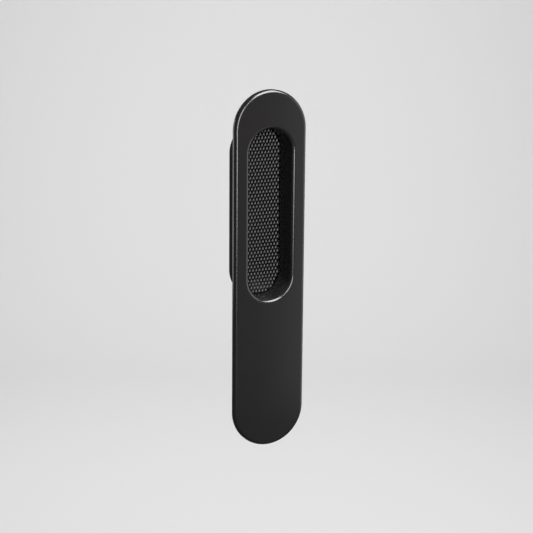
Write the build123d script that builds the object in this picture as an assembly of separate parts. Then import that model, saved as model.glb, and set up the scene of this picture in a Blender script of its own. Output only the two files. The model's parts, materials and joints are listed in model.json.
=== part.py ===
from build123d import *

import math
import os

# Driving dimensions, in millimetres and degrees.
# The origin lies midway between the two screw holes, on the back of the cup.
# X runs to the right, Y from the front to the back, and Z upwards.

# Face plate, which lies flat on the door
plate_length = 200.0
plate_width = 43.0
plate_thickness = 3.6
plate_edge_round = 1.9
plate_back_break = 0.3
plate_drop = 31.5

# Finger recess, sized where its wall would meet the front of the plate
recess_length = 94.8
recess_width = 26.0
recess_draft = 1.5
lip_round = 1.9

# Cup behind the plate, which goes into a pocket in the door
cup_depth = 16.0
cup_side_wall = 2.8
cup_end_wall = 1.1
cup_floor = 2.8
cup_back_round = 0.5

# Countersunk screw holes in the cup's floor, under the insert
screw_spacing = 64.0
screw_hole_diameter = 4.2
screw_head_diameter = 8.0
screw_head_angle = 90.0

# Knurled insert, which drops into the cup and hides the screws
insert_thickness = 2.8
insert_clearance = 0.25
insert_back_break = 0.2
diamond_width = 2.0
diamond_height = 4.0
knurl_depth = 0.5

# Levels, counted forward from the back of the cup
seat_level = cup_floor
plate_level = cup_depth
front_level = cup_depth + plate_thickness


def outline(length, width, level, drop=0.0):
    """Upright slot with round ends, drawn at a level and lowered by drop."""
    return Plane.XZ.offset(level) * Pos(0, -drop) * SlotOverall(length, width, rotation=90)


def at_level(size, level):
    """Length or width of the recess at a level, narrowed by the draft of both walls."""
    return size - 2 * (front_level - level) * math.tan(math.radians(recess_draft))


def front_of(solid):
    """Foremost face of a solid."""
    return solid.faces().sort_by(Axis.Y)[0]


def back_of(solid):
    """Rearmost face of a solid."""
    return solid.faces().sort_by(Axis.Y)[-1]


def face_plate():
    """Flat plate with a rounded front edge and a broken back edge."""
    plate = extrude(outline(plate_length, plate_width, plate_level, plate_drop), plate_thickness)
    plate = fillet(front_of(plate).edges(), plate_edge_round)
    return chamfer(back_of(plate).edges(), plate_back_break)


def cup_block():
    """The cup's outer form, rounded at its back and met by the plate at its front."""
    length = recess_length + 2 * cup_end_wall
    width = recess_width + 2 * cup_side_wall
    block = extrude(outline(length, width, 0), cup_depth)
    return fillet(back_of(block).edges(), cup_back_round)


def recess_core():
    """The finger recess as a drafted plug, from the seat of the insert to the front."""
    sections = [
        outline(at_level(recess_length, level), at_level(recess_width, level), level)
        for level in (seat_level, front_level)
    ]
    return loft(sections, ruled=True)


def screw_holes():
    """Countersunk holes through the cup's floor, opening onto the seat of the insert."""
    hole = CounterSinkHole(
        radius=screw_hole_diameter / 2,
        counter_sink_radius=screw_head_diameter / 2,
        depth=cup_floor,
        counter_sink_angle=screw_head_angle,
    )
    seat = Plane.XZ.offset(seat_level)
    return [seat * Pos(0, side * screw_spacing / 2) * hole for side in (-1, 1)]


def pull_body():
    """Plate and cup cast in one, with the recess and its rounded lip."""
    body = face_plate() + cup_block() - recess_core()
    lip = front_of(body).inner_wires()[0].edges()
    return fillet(lip, lip_round) - screw_holes()


def ridged_block(lean, length):
    """Block of V ridges that run at a lean from upright, one in line with the centre."""
    pitch = diamond_width * math.cos(math.radians(lean))
    steps = 2 * math.ceil(length / 2 / pitch)
    zigzag = [
        (step * pitch / 2, insert_thickness - knurl_depth * (step % 2))
        for step in range(-steps, steps + 1)
    ]
    end = steps * pitch / 2
    profile = make_face(Polyline(*zigzag, (end, 0), (-end, 0), close=True))
    across = Plane(origin=(0, -seat_level, 0), x_dir=(1, 0, 0), z_dir=(0, 0, -1))
    return Rot(0, lean, 0) * extrude(across * profile, length / 2, both=True)


def knurled_insert():
    """Slot-shaped plate with a diamond knurl, where two sets of ridges cross."""
    length = at_level(recess_length, seat_level) - 2 * insert_clearance
    width = at_level(recess_width, seat_level) - 2 * insert_clearance
    slab = extrude(outline(length, width, seat_level), insert_thickness)
    slab = chamfer(back_of(slab).edges(), insert_back_break)
    lean = math.degrees(math.atan2(diamond_width, diamond_height))
    return slab & ridged_block(lean, length) & ridged_block(-lean, length)


os.makedirs("parts", exist_ok=True)
for node in (pull_body, knurled_insert):
    export_step(node(), f"parts/{node.__name__}.step")
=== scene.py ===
# %% [markdown]
# # A black finger cup pull
#
# The object is a flush pull for a sliding door: a flat plate with round ends, a deep finger recess in
# its upper half, and a knurled plate at the bottom of the recess. It is almost pure black, so what the
# eye reads is not its colour but how its rounded edges catch the light. This lesson therefore spends
# its effort on two things: edges that are truly round, and a finish that is neither mirror nor chalk.
#
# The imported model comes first. It is the fixed frame that everything else is measured from, and its
# box is kept, because the finished pieces have to stay inside it.

import json
import math

import bpy
import numpy as np
from mathutils import Matrix, Vector


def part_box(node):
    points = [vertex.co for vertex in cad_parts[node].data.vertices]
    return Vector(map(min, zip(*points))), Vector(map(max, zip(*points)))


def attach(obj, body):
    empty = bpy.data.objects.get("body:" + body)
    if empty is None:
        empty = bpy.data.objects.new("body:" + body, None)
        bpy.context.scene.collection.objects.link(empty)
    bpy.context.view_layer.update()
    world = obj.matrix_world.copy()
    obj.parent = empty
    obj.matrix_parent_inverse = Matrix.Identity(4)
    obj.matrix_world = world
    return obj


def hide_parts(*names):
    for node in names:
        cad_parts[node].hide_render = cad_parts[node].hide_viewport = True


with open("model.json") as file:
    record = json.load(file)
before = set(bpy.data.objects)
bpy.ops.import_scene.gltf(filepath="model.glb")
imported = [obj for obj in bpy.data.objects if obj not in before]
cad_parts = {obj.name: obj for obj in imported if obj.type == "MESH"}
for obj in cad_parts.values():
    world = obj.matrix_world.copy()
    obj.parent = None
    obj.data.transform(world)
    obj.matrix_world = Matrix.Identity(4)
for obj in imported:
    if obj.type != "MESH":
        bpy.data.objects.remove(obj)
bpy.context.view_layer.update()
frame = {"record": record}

# %% [markdown]
# ## Sizes
#
# Most sizes can be read from the frame: the boxes of the two nodes, and the mounts in the record. A
# size that is read can't disagree with the model. Only the roundings, walls and knurl are written here,
# in metres, because a box doesn't show them. Depths are *levels*, counted forward from the back of the
# cup, so a level of 5 mm lies at y = -5 mm.

# %% Sizes read from the frame
MM = 0.001
CM3 = 1e-6

body_low, body_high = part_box("pull_body")
insert_low, insert_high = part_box("knurled_insert")
mounts = {mount["name"]: mount for mount in frame["record"]["mounts"]}

plate_width = body_high.x - body_low.x
plate_length = body_high.z - body_low.z
plate_drop = -(body_high.z + body_low.z) / 2
front_level = -body_low.y
plate_level = -mounts["plate_back"]["pos_m"][1]
seat_level = -insert_high.y
insert_top = -insert_low.y
insert_width = insert_high.x - insert_low.x
insert_length = insert_high.z - insert_low.z
hole_radius = mounts["screw_holes"]["dims"]["hole_r_mm"] * MM
hole_spacing = mounts["screw_holes"]["dims"]["spacing_y_mm"] * MM
print(f"plate {plate_length / MM:.1f} x {plate_width / MM:.1f} mm, depth {front_level / MM:.1f} mm")

# %% Sizes that the boxes don't show
edge_round = 1.9 * MM
back_break = 0.3 * MM
lip_round = 1.9 * MM
draft = math.radians(1.5)
insert_clearance = 0.25 * MM
insert_break = 0.2 * MM
cup_side_wall = 2.8 * MM
cup_end_wall = 1.1 * MM
cup_back_round = 0.5 * MM
screw_head_radius = 4.0 * MM
diamond_width = 2.0 * MM
diamond_height = 4.0 * MM
knurl_depth = 0.5 * MM

draft_growth = 2 * (front_level - seat_level) * math.tan(draft)
recess_length = insert_length + 2 * insert_clearance + draft_growth
recess_width = insert_width + 2 * insert_clearance + draft_growth
print(f"recess {recess_length / MM:.1f} x {recess_width / MM:.1f} mm at the front")

# %% [markdown]
# ## The outline that everything shares
#
# The plate, the recess, the cup and the insert all have the same kind of outline: a slot, which is two
# half circles joined by straight sides. A point that travels round a slot is described by two numbers:
# its *turn*, the direction in which the outline faces there, and its *travel*, which says whether the
# centre of its half circle is the upper one (1), the lower one (-1) or somewhere on the way. With these
# two arrays kept fixed, slots of any size have matching points, and a surface is a stack of rings.

# %% Turn and travel of the points on a slot
ARC_STEPS = 96
SIDE_STEPS = 48

rise = np.linspace(0, 1, SIDE_STEPS // 2, endpoint=False)
arc = np.linspace(0, np.pi, ARC_STEPS, endpoint=False)
fall = np.linspace(1, -1, SIDE_STEPS, endpoint=False)
turn = np.concatenate([0 * rise, arc, np.pi + 0 * fall, np.pi + arc, 0 * rise])
travel = np.concatenate([rise, 1 + 0 * arc, fall, -1 + 0 * arc, rise - 1])
print("points on a ring:", len(turn))


# %% Rings of a slot
def slot_rings(slot, offset, level):
    """Rings of a slot (length, width, drop) moved outwards by each offset, at each level.

    With r = width / 2 + offset and s = (length - width) / 2, a point of a ring is
    x = r cos(turn), y = -level, z = r sin(turn) + s travel - drop."""
    length, width, drop = slot
    offset, level = (np.atleast_1d(each) for each in np.broadcast_arrays(offset, level))
    radius = width / 2 + offset[:, None]
    x = radius * np.cos(turn)
    z = radius * np.sin(turn) + (length - width) / 2 * travel - drop
    return np.stack([x, -level[:, None] + 0 * x, z], axis=-1)


recess_slot = (recess_length, recess_width, 0.0)
plate_slot = (plate_length, plate_width, plate_drop)
cup_slot = (recess_length + 2 * cup_end_wall, recess_width + 2 * cup_side_wall, 0.0)
plate_ring = slot_rings(plate_slot, 0.0, plate_level)
print(f"the plate's outline reaches from z = {plate_ring[..., 2].min() / MM:.1f} "
      f"to {plate_ring[..., 2].max() / MM:.1f} mm")

# %% [markdown]
# ## From grids to a mesh
#
# A stack of rings is a grid: rows run from ring to ring, columns round the ring. Neighbouring grids
# share their border points, so once all grids are listed, points at the same place are welded into one.
# numpy does this for the whole mesh at once. Two numbers then tell whether the surface is sound: no edge
# may be left open, which means that exactly two triangles share each, and the volume inside must come
# close to the CAD solid's, which it does only if every face points outwards.


# %% Quads of a grid, their triangles, and points that coincide
WELD_STEP = MM / 10000


def grid_quads(rows, columns, start=0):
    """Quads of a grid of points, row after row, numbered from start; the last column joins the first.

    Each goes from a point to the next row, then to the next column, then back a row."""
    row, column = np.meshgrid(np.arange(rows - 1), np.arange(columns), indexing="ij")
    beside = (column + 1) % columns
    corners = [row * columns + column, (row + 1) * columns + column]
    corners += [(row + 1) * columns + beside, row * columns + beside]
    return start + np.stack(corners, axis=-1).reshape(-1, 4)


def split_quads(quads):
    """Two triangles for each quad, cut from its first corner to its third."""
    return np.concatenate([quads[:, [0, 1, 2]], quads[:, [0, 2, 3]]])


def merge_points(points):
    """Rounds points to a fine step and gives the first of each kind, and each point's own kind."""
    keys = np.round(points / WELD_STEP).astype(np.int64)
    _, first, kind = np.unique(keys, axis=0, return_index=True, return_inverse=True)
    return first, kind.reshape(-1)


print("quads between two rings:", len(grid_quads(2, len(turn))))


# %% Open edges and volume of a surface
def open_edges(triangles):
    """How many edges are used by more or fewer than two triangles."""
    ends = np.concatenate([triangles[:, pair] for pair in ([0, 1], [1, 2], [2, 0])])
    _, uses = np.unique(np.sort(ends, axis=1), axis=0, return_counts=True)
    return int(np.sum(uses != 2))


def volume_of(points, triangles):
    """A sixth of the sum of a . (b x c) over the triangles, which is the volume they enclose."""
    a, b, c = (points[triangles[:, corner]] for corner in range(3))
    return np.einsum("ij,ij->", a, np.cross(b, c)) / 6


print("open edges of a single triangle:", open_edges(np.array([[0, 1, 2]])))


# %% A mesh object
def mesh_piece(name, points, faces, sharp_angle):
    """A mesh object at the origin, smooth but for edges that turn by more than sharp_angle degrees."""
    mesh = bpy.data.meshes.new(name)
    mesh.from_pydata(points, [], faces.tolist())
    mesh.polygons.foreach_set("use_smooth", np.ones(len(mesh.polygons), dtype=bool))
    mesh.set_sharp_from_angle(angle=math.radians(sharp_angle))
    mesh.validate()
    piece = bpy.data.objects.new(name, mesh)
    bpy.context.scene.collection.objects.link(piece)
    print(f"{name}: {len(mesh.vertices)} points, {len(mesh.polygons)} faces")
    return piece


# %% [markdown]
# ## The casting
#
# Plate and cup are one die casting. Its skin can be walked in one go: from the seat of the insert up
# the drafted wall, over the lip, across the face, round the outer edge, along the back of the plate and
# down the cup. Each stage of the walk is a handful of slot rings. A Bevel modifier on a block would give
# similar edges, but here every round has its exact radius and as many steps as its highlight needs.
# Narrow support rings beside each flat face keep its shading flat right up to the rounding.

# %% Rings that show: recess wall, lip, face and outer edge
SUPPORT = 0.12 * MM
ROUND_STEPS = 16

wall_foot = front_level - lip_round * (1 - math.sin(draft))
wall_level = np.linspace(seat_level, wall_foot, ROUND_STEPS, endpoint=False)
lip_turn = np.linspace(draft, np.pi / 2, ROUND_STEPS)
lip_reach = lip_round * (1 - math.sin(draft)) / math.cos(draft)
lip_level = wall_foot + lip_round * (np.sin(lip_turn) - math.sin(draft))
quarter = np.linspace(0, np.pi / 2, ROUND_STEPS)
edge_level = front_level - edge_round * (1 - np.cos(quarter))

shown_rings = np.concatenate([
    slot_rings(recess_slot, (wall_level - front_level) * math.tan(draft), wall_level),
    slot_rings(recess_slot, lip_reach - lip_round * np.cos(lip_turn), lip_level),
    slot_rings(recess_slot, lip_reach + SUPPORT, front_level),
    slot_rings(plate_slot, -edge_round - SUPPORT, front_level),
    slot_rings(plate_slot, -edge_round * (1 - np.sin(quarter)), edge_level),
    slot_rings(plate_slot, 0.0, plate_level + back_break),
])
print("rings that show:", len(shown_rings))

# %% Rings that the door hides: back of the plate and cup
foot_level = cup_back_round * (1 - np.sin(quarter))

hidden_rings = np.concatenate([
    slot_rings(plate_slot, np.array([-back_break, -back_break - SUPPORT]), plate_level),
    slot_rings(cup_slot, np.array([SUPPORT, 0.0]), plate_level),
    slot_rings(cup_slot, -cup_back_round * (1 - np.cos(quarter)), foot_level),
    slot_rings(cup_slot, -cup_back_round - SUPPORT, 0.0),
])
casting_rings = np.concatenate([shown_rings, hidden_rings])
print("rings that the door hides:", len(hidden_rings))

# %% [markdown]
# The floor of the cup has two countersunk holes for the screws that hold the pull to the door; the
# insert hides them. A Boolean would cut them and leave long thin faces. Here each half of the floor is
# a grid between half of the slot outline, closed by a straight line across the middle, and the circle
# of the hole. The circle's points lie in the directions of the outline's points, so the grid can't fold.

# %% Grids of the cup's floor around the screw holes
BRIDGE_STEPS = 24


def half_loop(ring, side):
    """Upper (side 1) or lower (side -1) half of a ring, closed by a straight run across the middle."""
    count = len(ring)
    half = np.arange(count // 2 + 1) + (0 if side > 0 else count // 2)
    arm = ring[half % count]
    share = np.linspace(0, 1, BRIDGE_STEPS, endpoint=False)[1:, None]
    return np.concatenate([arm, arm[-1] + share * (arm[0] - arm[-1])])


def hole_grid(side, back_ring, seat_ring):
    """Rows from the back outline through the hole and its countersink to the seat outline.

    A row on the hole is its centre plus a radius times the unit direction of each outline point."""
    back, seat = half_loop(back_ring, side), half_loop(seat_ring, side)
    centre = np.array([0, 0, side * hole_spacing / 2])
    out = (seat - centre) * [1, 0, 1]
    out /= np.linalg.norm(out, axis=1, keepdims=True)
    sink_level = seat_level - (screw_head_radius - hole_radius)
    steps = [(hole_radius, 0.0), (hole_radius, sink_level), (screw_head_radius, seat_level)]
    circles = [centre + radius * out + [0, -level, 0] for radius, level in steps]
    return np.stack([back, *circles, seat])


hole_grids = [hole_grid(side, casting_rings[-1], casting_rings[0]) for side in (1, -1)]
print("points of each half of the cup's floor:", hole_grids[0].shape[:2])

# %% Weld the grids into the casting
CASTING_SHARP = 35

grids = [casting_rings, *hole_grids]
starts = np.cumsum([0] + [grid.shape[0] * grid.shape[1] for grid in grids[:-1]])
grid_points = np.concatenate([grid.reshape(-1, 3) for grid in grids])
quads = np.concatenate([grid_quads(*grid.shape[:2], start) for grid, start in zip(grids, starts)])
first, kind = merge_points(grid_points)
casting_points, casting_quads = grid_points[first], kind[quads]
casting_triangles = split_quads(casting_quads)
casting = mesh_piece("casting", casting_points, casting_quads, CASTING_SHARP)
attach(casting, "root")
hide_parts("pull_body")
metal = volume_of(casting_points, casting_triangles)
print(f"{metal / CM3:.2f} cm3 of metal, open edges: {open_edges(casting_triangles)}")

# %% [markdown]
# The coat is sprayed from the front. It lies thick and smooth on what shows, and reaches the sides that
# go into the door only thinly, so they stay dull. Two pieces could carry the two finishes, but the
# casting is one piece. Each face of a mesh holds the number of its finish, so the faces that the door
# hides get number 1 here, and the finishes themselves follow further down.

# %% Number the faces by their finish
ring_of_face = np.arange(len(casting_quads)) // len(turn)
is_hidden = ring_of_face >= len(shown_rings) - 1
casting.data.polygons.foreach_set("material_index", is_hidden.astype(np.int32))
print(f"faces that show: {np.sum(~is_hidden)}, faces that the door hides: {np.sum(is_hidden)}")

# %% [markdown]
# ## The knurled plate
#
# A diamond knurl is two families of V ridges that cross. Measured across the ridges, each family is a
# wave, and the metal left standing is the lower of the two waves. Sharp waves would give knife-edged
# pyramids. A coated knurl is softer, so its waves have rounded turns, and the lower of the two is taken
# with a small blend. That matters for the looks: the flanks stay flat enough to flash all at once.

# %% Height of the knurl
ROUNDNESS = 0.95
BLEND = 0.3


def ridge_wave(x):
    """Triangle wave with rounded turns, asin(c cos(2 pi x)) / asin(c), shifted to run from 0 to 1."""
    return 0.5 + 0.5 * np.arcsin(ROUNDNESS * np.cos(2 * np.pi * x)) / math.asin(ROUNDNESS)


def knurl_level(x, z):
    """Level of the knurl: the softened lower of two waves, along z / h + x / w and z / h - x / w.

    The softened lower of a and b is (a + b - sqrt((a - b)^2 + blend^2)) / 2."""
    one = ridge_wave(z / diamond_height + x / diamond_width)
    two = ridge_wave(z / diamond_height - x / diamond_width)
    lower = (one + two - np.sqrt((one - two) ** 2 + BLEND ** 2)) / 2
    return insert_top - knurl_depth * (1 - lower - BLEND / 2)


peak = knurl_level(0.0, 0.0)
pit = knurl_level(0.0, diamond_height / 2)
print(f"knurl from level {pit / MM:.2f} to {peak / MM:.2f} mm")

# %% [markdown]
# The grid of the knurled face follows the ridges, so every valley lies on a grid line. Each cell of the
# grid becomes two triangles. The cut between them runs along the hip of its pyramid, which leans one way
# in two quarters of a diamond and the other way in the other two. All this is still flat, in x and z.

# %% Flat triangles that follow the ridges
CELL_STEPS = 10

cells = math.ceil((insert_width / diamond_width + insert_length / diamond_height) / 2) + 1
step = np.arange(-cells * CELL_STEPS, cells * CELL_STEPS + 1) / CELL_STEPS
rising, falling = np.meshgrid(step, step, indexing="ij")
flat_x = (rising - falling) * diamond_width / 2
flat_z = (rising + falling) * diamond_height / 2
flat = np.stack([flat_x, flat_z], axis=-1)

a, b, c, d = flat[:-1, :-1], flat[1:, :-1], flat[1:, 1:], flat[:-1, 1:]
middle = (step[:-1] + step[1:]) / 2
offset_in_cell = middle - np.round(middle)
leans = np.outer(offset_in_cell, offset_in_cell) > 0
halves = [(a, b, c, leans), (a, c, d, leans), (a, b, d, ~leans), (b, c, d, ~leans)]
flat_triangles = np.concatenate([np.stack(half[:3], axis=2)[half[3]] for half in halves])
print("flat triangles:", len(flat_triangles))

# %% [markdown]
# The outline of the plate then trims them as a cutter would. A triangle across the outline keeps its
# inner part: with one corner inside that is a smaller triangle, and with two a four-sided piece, which
# is two triangles. Each cut point is found by straight interpolation along its edge and then moved onto
# the outline, which is less than two thousandths of a millimetre away. Pulling outer corners in would be
# shorter, but where the grid runs nearly along the outline some triangles would fold over.

# %% Points on the outline of the knurled plate
end_radius = insert_width / 2
core_half = insert_length / 2 - end_radius


def from_core(points):
    """Steps (x, z) to points from the nearest places on the middle line of the slot."""
    core_z = np.clip(points[..., 1], -core_half, core_half)
    return np.stack([points[..., 0], points[..., 1] - core_z], axis=-1)


def reach_of(points):
    """Distances of points from the middle line; on the outline this is end_radius."""
    return np.linalg.norm(from_core(points), axis=-1)


def cut_points(inner, outer):
    """Points where edges from inner to outer points meet the outline."""
    inner_reach, outer_reach = reach_of(inner), reach_of(outer)
    share = (end_radius - inner_reach) / (outer_reach - inner_reach)
    cut = inner + share[:, None] * (outer - inner)
    return cut + from_core(cut) * (end_radius / reach_of(cut) - 1)[:, None]


within = reach_of(flat_triangles) < end_radius
corners_within = within.sum(axis=1)
print("triangles by corners within the outline:", np.bincount(corners_within).tolist())


# %% Trim the triangles at the outline
def corners_from(first_corner, triangles):
    """Three arrays of corners, in turn from each triangle's given first corner."""
    order = (first_corner[:, None] + np.arange(3)) % 3
    turned = np.take_along_axis(triangles, order[:, :, None], axis=1)
    return turned[:, 0], turned[:, 1], turned[:, 2]


has_one, has_two, has_all = (corners_within == count for count in (1, 2, 3))
tip, lost_next, lost_last = corners_from(within[has_one].argmax(axis=1), flat_triangles[has_one])
tips = np.stack([tip, cut_points(tip, lost_next), cut_points(tip, lost_last)], axis=1)
lost, kept_next, kept_last = corners_from(within[has_two].argmin(axis=1), flat_triangles[has_two])
next_cut, last_cut = cut_points(kept_next, lost), cut_points(kept_last, lost)
bases = np.stack([kept_next, kept_last, last_cut], axis=1)
strips = np.stack([kept_next, last_cut, next_cut], axis=1)
trimmed = np.concatenate([flat_triangles[has_all], tips, bases, strips])
print("triangles of the knurled face:", len(trimmed))

# %% [markdown]
# The cut points, sorted by direction, make the rim of the face, which is the first ring of the plate's
# side. Two more rings give the straight side and the small chamfer that lets the plate drop into the
# cup, and a fan closes the back. Only now does the face get its height.

# %% Side of the knurled plate, hung from the rim of the face
cuts = np.concatenate([tips, strips])[:, 1:].reshape(-1, 2)
rim = cuts[merge_points(cuts)[0]]
rim = rim[np.argsort(np.arctan2(rim[:, 1], rim[:, 0]))]
chamfered = rim - from_core(rim) * insert_break / end_radius


def raised(flat_points, level):
    """Flat points (x, z) as points in space, at a level or at a level each."""
    x, z = flat_points[..., 0], flat_points[..., 1]
    return np.stack([x, 0 * x - level, z], axis=-1)


side_rings = np.stack([
    raised(rim, knurl_level(rim[:, 0], rim[:, 1])),
    raised(rim, seat_level + insert_break),
    raised(chamfered, seat_level),
])
print("points on the rim of the knurled face:", len(rim))

# %% Weld the face, side and back into the knurled plate
KNURL_SHARP = 32

face_points = raised(trimmed, knurl_level(trimmed[..., 0], trimmed[..., 1])).reshape(-1, 3)
face_triangles = np.arange(len(face_points)).reshape(-1, 3)
side_quads = grid_quads(len(side_rings), len(rim), start=len(face_points))
side_triangles = split_quads(side_quads)
centre_index = len(face_points) + len(side_rings) * len(rim)
back_ring = centre_index - len(rim) + np.arange(len(rim))
back_fan = np.stack([np.roll(back_ring, -1), back_ring, 0 * back_ring + centre_index], axis=1)
back_centre = raised(np.zeros((1, 2)), seat_level)

all_points = np.concatenate([face_points, side_rings.reshape(-1, 3), back_centre])
first, kind = merge_points(all_points)
all_triangles = kind[np.concatenate([face_triangles, side_triangles, back_fan])]
is_whole = np.all(all_triangles != np.roll(all_triangles, 1, axis=1), axis=1)
knurl_points, knurl_triangles = all_points[first], all_triangles[is_whole]
knurl_plate = mesh_piece("knurl_plate", knurl_points, knurl_triangles, KNURL_SHARP)
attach(knurl_plate, "root")
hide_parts("knurled_insert")
metal = volume_of(knurl_points, knurl_triangles)
print(f"{metal / CM3:.2f} cm3 of metal, open edges: {open_edges(knurl_triangles)}")

# %% [markdown]
# ## The finish
#
# A black coat shows hardly any colour of its own; what is seen on it is the room, dimmed to about a
# tenth. So the base colour is nearly black, and the index of refraction and the roughness decide how
# much of a lamp comes back and how wide it spreads. Two noises keep the surface from looking computed.
# A fine one makes the grain of a sprayed coat, as a bump a few thousandths of a millimetre high, and a
# slow one shifts the colour and the gloss a little from place to place. Both read Object coordinates,
# so the grain has its real size and stays on the piece whatever the camera does.


# %% A black finish
GRAIN_DETAIL = 3.0
PATCH_DETAIL = 2.0


def add_node(tree, kind, **settings):
    """A new node, with each setting that names an input put on that input, and the rest on the node."""
    node = tree.nodes.new(kind)
    for key, value in settings.items():
        label = key.replace("_", " ").title()
        if label in node.inputs:
            node.inputs[label].default_value = value
        else:
            setattr(node, key, value)
    return node


def black_finish(name, dark, light, gloss, ior, grain, grain_height, patch):
    """Principled black: a slow noise of size patch runs the colour from dark to light and the
    roughness over the range gloss, and a fine noise of size grain raises a bump of grain_height."""
    material = bpy.data.materials.new(name)
    material.use_nodes = True
    tree = material.node_tree
    shader = tree.nodes["Principled BSDF"]
    shader.inputs["IOR"].default_value = ior
    place = add_node(tree, "ShaderNodeTexCoord")
    fine = add_node(tree, "ShaderNodeTexNoise", scale=1 / grain, detail=GRAIN_DETAIL)
    slow = add_node(tree, "ShaderNodeTexNoise", scale=1 / patch, detail=PATCH_DETAIL)
    tint = add_node(tree, "ShaderNodeMix", data_type="RGBA")
    tint.inputs["A"].default_value = (*dark, 1)
    tint.inputs["B"].default_value = (*light, 1)
    sheen = add_node(tree, "ShaderNodeMapRange", to_min=gloss[0], to_max=gloss[1])
    bump = add_node(tree, "ShaderNodeBump", strength=1.0, distance=grain_height)
    tree.links.new(place.outputs["Object"], fine.inputs["Vector"])
    tree.links.new(place.outputs["Object"], slow.inputs["Vector"])
    tree.links.new(slow.outputs["Fac"], tint.inputs["Factor"])
    tree.links.new(slow.outputs["Fac"], sheen.inputs["Value"])
    tree.links.new(fine.outputs["Fac"], bump.inputs["Height"])
    tree.links.new(tint.outputs["Result"], shader.inputs["Base Color"])
    tree.links.new(sheen.outputs["Result"], shader.inputs["Roughness"])
    tree.links.new(bump.outputs["Normal"], shader.inputs["Normal"])
    print(f"{name}: {len(tree.nodes)} nodes, reflects {((ior - 1) / (ior + 1)) ** 2:.3f} head on")
    return material


# %% [markdown]
# The coat on the casting is a satin one: a lamp comes back as a soft bright line along each round. Where
# the spray lies thin it is rough and reflects little. The knurl's colour is blacker than the coat's,
# which is painted shade of the deep recess and of its pits, and its flanks are glossier, which makes
# them flash as separate points.

# %% Satin coat, thin spray and a knurl painted blacker as shade
coat = black_finish(
    "satin_black_coat",
    dark=(0.0125, 0.0112, 0.0120),
    light=(0.0145, 0.0130, 0.0138),
    gloss=(0.19, 0.21),
    ior=1.9,
    grain=0.5 * MM,
    grain_height=0.003 * MM,
    patch=25 * MM,
)
thin_spray = black_finish(
    "thin_black_spray",
    dark=(0.0110, 0.0100, 0.0105),
    light=(0.0170, 0.0155, 0.0162),
    gloss=(0.75, 0.85),
    ior=1.5,
    grain=0.4 * MM,
    grain_height=0.008 * MM,
    patch=15 * MM,
)
# painted shade: the knurl's colour is darker than the coat's to stand for the shade of the recess and
# its pits
knurl_black_painted_shade = black_finish(
    "black_knurl",
    dark=(0.0035, 0.0035, 0.0035),
    light=(0.0065, 0.0065, 0.0065),
    gloss=(0.13, 0.17),
    ior=1.5,
    grain=0.3 * MM,
    grain_height=0.003 * MM,
    patch=25 * MM,
)

# %% Put the finishes on
casting.data.materials.append(coat)
casting.data.materials.append(thin_spray)
knurl_plate.data.materials.append(knurl_black_painted_shade)
print("casting:", [finish.name for finish in casting.data.materials])
print("knurled plate:", [finish.name for finish in knurl_plate.data.materials])

# %% [markdown]
# ## Camera
#
# The camera stands to the left of the pull and a little above it, with a long lens at arm's length. It
# is described as a photographer would: how far round, how high, how far away, what it aims at and how
# much it leans. It comes before the light, because the paper behind the pull is laid out along its view.

# %% Where the camera stands
AZIMUTH = math.radians(-27.074)
ELEVATION = math.radians(13.79)
ROLL = math.radians(0.486)
DISTANCE = 0.84034
AIM = Vector((-0.164, -15.27, -29.157)) * MM

level_back = Vector((math.sin(AZIMUTH), -math.cos(AZIMUTH), 0))
back = math.cos(ELEVATION) * level_back + Vector((0, 0, math.sin(ELEVATION)))
right = Vector((0, 0, 1)).cross(back).normalized()
up = back.cross(right)
turned_right = math.cos(ROLL) * right + math.sin(ROLL) * up
turned_up = math.cos(ROLL) * up - math.sin(ROLL) * right
turned = Matrix((turned_right, turned_up, back)).transposed()
place = Matrix.Translation(AIM + DISTANCE * back) @ turned.to_4x4()
print("camera at", [round(value, 3) for value in place.translation])

# %% Camera and view
FOCAL_PIXELS = 1529.78
IMAGE_PIXELS = 533
SENSOR = 36.0

lens = bpy.data.cameras.new("camera")
lens.sensor_width = SENSOR
lens.lens = FOCAL_PIXELS * SENSOR / IMAGE_PIXELS
camera = bpy.data.objects.new("camera", lens)
camera.matrix_world = place
bpy.context.scene.collection.objects.link(camera)
bpy.context.scene.camera = camera
bpy.context.scene.view_settings.view_transform = "Standard"
print(f"lens of {lens.lens:.1f} mm on a sensor {SENSOR:.0f} mm wide")

# %% [markdown]
# ## Paper
#
# A pale paper sweep lies behind the pull and rises in one bend, so the picture has no horizon. A flat
# floor and a wall would meet in a line; the bend is a quarter circle in the profile of the sheet, and
# the sheet is that profile carried across. It starts just below the view and is only as wide as the
# view needs, because whatever pale thing stands round a black coat is seen again in it: paper right
# under the pull would draw a pale band along its lower edge.

# %% Paper sweep
FLOOR_DROP = 0.9
SWEEP_START = 1.5
SWEEP_BACK = 2.5
SWEEP_BEND = 0.8
SWEEP_HEIGHT = 1.2
SWEEP_WIDTH = 2.2
BEND_STEPS = 25
SHEET_SHARP = 60

bend = np.linspace(0, np.pi / 2, BEND_STEPS)
profile = np.concatenate([
    [[SWEEP_START, 0.0]],
    np.stack([SWEEP_BACK + SWEEP_BEND * np.sin(bend), SWEEP_BEND * (1 - np.cos(bend))], axis=1),
    [[SWEEP_BACK + SWEEP_BEND, SWEEP_HEIGHT]],
])
across = np.array([-SWEEP_WIDTH / 2, SWEEP_WIDTH / 2])
sheet = profile[:, None, :1] * np.array(-level_back) + across[None, :, None] * np.array(right)
sheet[..., 2] += profile[:, None, 1] - FLOOR_DROP
row = np.arange(len(profile) - 1)
sheet_quads = np.stack([2 * row, 2 * row + 1, 2 * row + 3, 2 * row + 2], axis=1)
floor = mesh_piece("floor", sheet.reshape(-1, 3), sheet_quads, SHEET_SHARP)

# %% Pale paper
PAPER_GREY = 0.8
PAPER_ROUGHNESS = 0.9


def opaque_grey(value):
    """A grey as red, green, blue and alpha."""
    return (value, value, value, 1)


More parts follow.
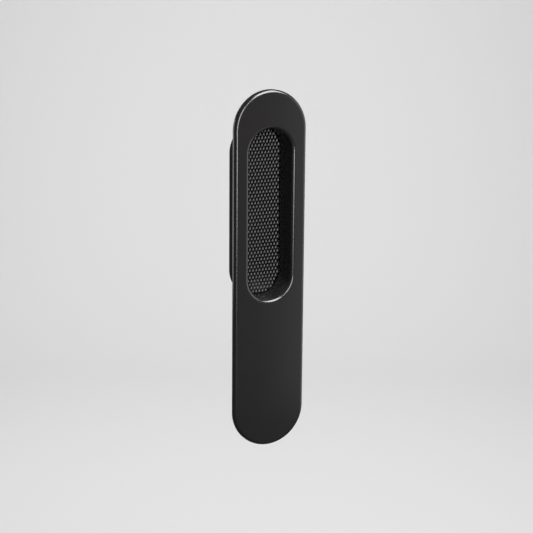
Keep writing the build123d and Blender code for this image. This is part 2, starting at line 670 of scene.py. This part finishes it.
paper = bpy.data.materials.new("pale_paper")
paper.use_nodes = True
paper_shader = paper.node_tree.nodes["Principled BSDF"]
paper_shader.inputs["Base Color"].default_value = opaque_grey(PAPER_GREY)
paper_shader.inputs["Roughness"].default_value = PAPER_ROUGHNESS
floor.data.materials.append(paper)
print("paper returns", PAPER_GREY, "of the light")

# %% [markdown]
# ## Light
#
# The room is dim and even, which sets how dark the flat face is. Every lamp then has one job. The
# overhead box draws the line along the top edge and the foot of the recess. The front box makes the
# knurl sparkle and lights the edges that face left. The bridge box stands between these two and joins
# their lines where an edge turns the corner. The rim card runs down the plate's left side, the right
# card along the lip that faces right, and the near card lets the face grow paler to the right.
#
# The back box shows the form of the cup from behind. A straight side mirrors the view at the angle at
# which it is seen, here some thirty degrees off the line straight back, so a box that stands closer to
# that line isn't seen in any edge from the front. The last lamp lights the paper only.
#
# A lamp is easier to plan by its glow, the brightness that a mirror would show, than by its watts: on a
# white surface a glow of 1 renders as white. Watts are worked out from the glow, so a box can grow or
# shrink and its reflection keeps its brightness.

# %% Room light
ROOM_GREY = 0.065

world = bpy.data.worlds.new("room")
world.use_nodes = True
world.node_tree.nodes["Background"].inputs["Color"].default_value = opaque_grey(ROOM_GREY)
bpy.context.scene.world = world
print("room grey:", ROOM_GREY)


# %% Soft boxes
def soft_box(name, azimuth, elevation, distance, width, height, glow, target=(0, 0, 0)):
    """A rectangular lamp seen from the target in a direction given in degrees, facing the target.

    Azimuth runs to the right from straight ahead. Watts are pi times glow times area."""
    lamp = bpy.data.lights.new(name, "AREA")
    lamp.shape = "RECTANGLE"
    lamp.size = width
    lamp.size_y = height
    lamp.energy = math.pi * glow * width * height
    holder = bpy.data.objects.new(name, lamp)
    bpy.context.scene.collection.objects.link(holder)
    swing = math.radians(azimuth)
    lift = math.radians(elevation)
    level = Vector((math.sin(swing), -math.cos(swing), 0))
    toward = math.cos(lift) * level + Vector((0, 0, math.sin(lift)))
    holder.location = Vector(target) + distance * toward
    holder.rotation_euler = toward.to_track_quat("Z", "Y").to_euler()
    print(f"{name}: {lamp.energy:.1f} W at", [round(value, 2) for value in holder.location])


soft_box("overhead_box", azimuth=36, elevation=56, distance=0.9, width=0.7, height=0.75, glow=7.4)
soft_box("front_box", azimuth=-18, elevation=9, distance=1.2, width=0.45, height=0.95, glow=5.0)
soft_box("bridge_box", azimuth=0, elevation=42, distance=1.0, width=0.2, height=0.45, glow=7.0)
soft_box("rim_card", azimuth=-153, elevation=-3, distance=1.0, width=0.35, height=0.5, glow=0.9)
soft_box("right_card", azimuth=75, elevation=0, distance=1.2, width=0.9, height=1.2, glow=0.9)
soft_box("near_card", azimuth=42, elevation=-9, distance=0.38, width=0.18, height=0.34, glow=0.27)
soft_box("back_box", azimuth=180, elevation=12, distance=1.2, width=0.4, height=0.3, glow=8.0)

# %% Lamp for the paper
PAPER_MIDDLE = (1.4, 2.7, -0.6)

soft_box("paper_lamp", azimuth=math.degrees(AZIMUTH), elevation=50, distance=2.4,
         width=2.8, height=1.4, glow=4.1, target=PAPER_MIDDLE)
